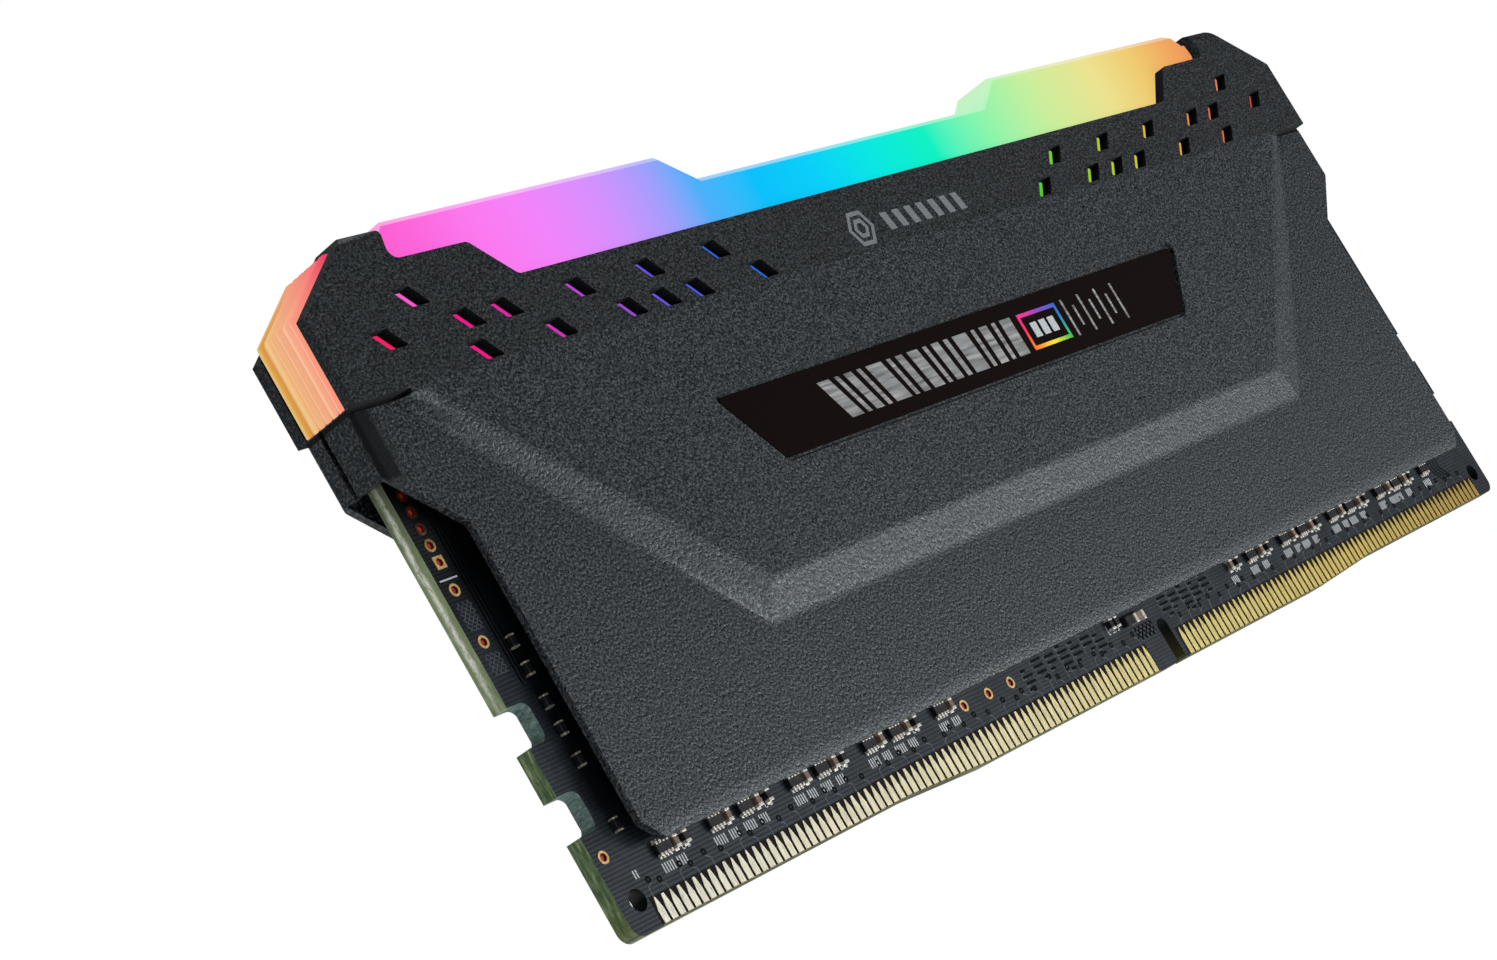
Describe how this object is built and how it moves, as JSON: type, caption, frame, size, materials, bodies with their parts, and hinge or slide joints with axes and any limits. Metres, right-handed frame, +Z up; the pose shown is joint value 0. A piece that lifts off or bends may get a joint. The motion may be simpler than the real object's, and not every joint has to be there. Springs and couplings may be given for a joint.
{
  "type": "memory module",
  "caption": "Long thin plug-in memory card with gold edge contacts, clad in two dark angular heat spreaders with a translucent light bar along the top.",
  "frame": {"origin": "middle of the module's length and thickness, at the deepest point of the card edge", "axes": "+X along the module from contact 1 to the last, +Z up from the card edge to the light bar, -Y the front with the memory chips"},
  "size_m": [0.1356, 0.0064, 0.0518],
  "materials": {
    "shell_coat": "fine textured dark grey powder coat",
    "pcb_mask": "black solder mask, satin",
    "contact_gold": "polished gold plate",
    "ring_copper": "bare copper, satin",
    "chip_epoxy": "matt moulded epoxy",
    "led_lens": "clear lens in a white body",
    "resistor_body": "glazed black with tinned ends",
    "capacitor_body": "glazed tan ceramic with tinned ends",
    "pad_silicone": "soft matt thermal pad",
    "plate_ink": "printed glossy plate",
    "bar_diffuser": "translucent frosted moulding, lit from inside in a band of hues"
  },
  "bodies": {
    "root": {"pcb": "pcb_mask", "contacts_front": "contact_gold", "contacts_back": "contact_gold", "copper_rings": "ring_copper", "dram_chip_1": "chip_epoxy", "dram_chip_2": "chip_epoxy", "dram_chip_3": "chip_epoxy", "dram_chip_4": "chip_epoxy", "dram_chip_5": "chip_epoxy", "dram_chip_6": "chip_epoxy", "dram_chip_7": "chip_epoxy", "dram_chip_8": "chip_epoxy", "spd_sensor": "chip_epoxy", "led_controller": "chip_epoxy", "led_1": "led_lens", "led_2": "led_lens", "led_3": "led_lens", "led_4": "led_lens", "led_5": "led_lens", "led_6": "led_lens", "led_7": "led_lens", "led_8": "led_lens", "led_9": "led_lens", "led_10": "led_lens", "resistor_arrays": "resistor_body", "bypass_parts": "capacitor_body", "edge_parts": "capacitor_body", "thermal_pad_front": "pad_silicone", "thermal_pad_back": "pad_silicone", "heat_spreader_front": "shell_coat", "heat_spreader_back": "shell_coat", "name_plate": "plate_ink", "rating_label": "plate_ink", "light_bar": "bar_diffuser"}
  },
  "joints": []
}
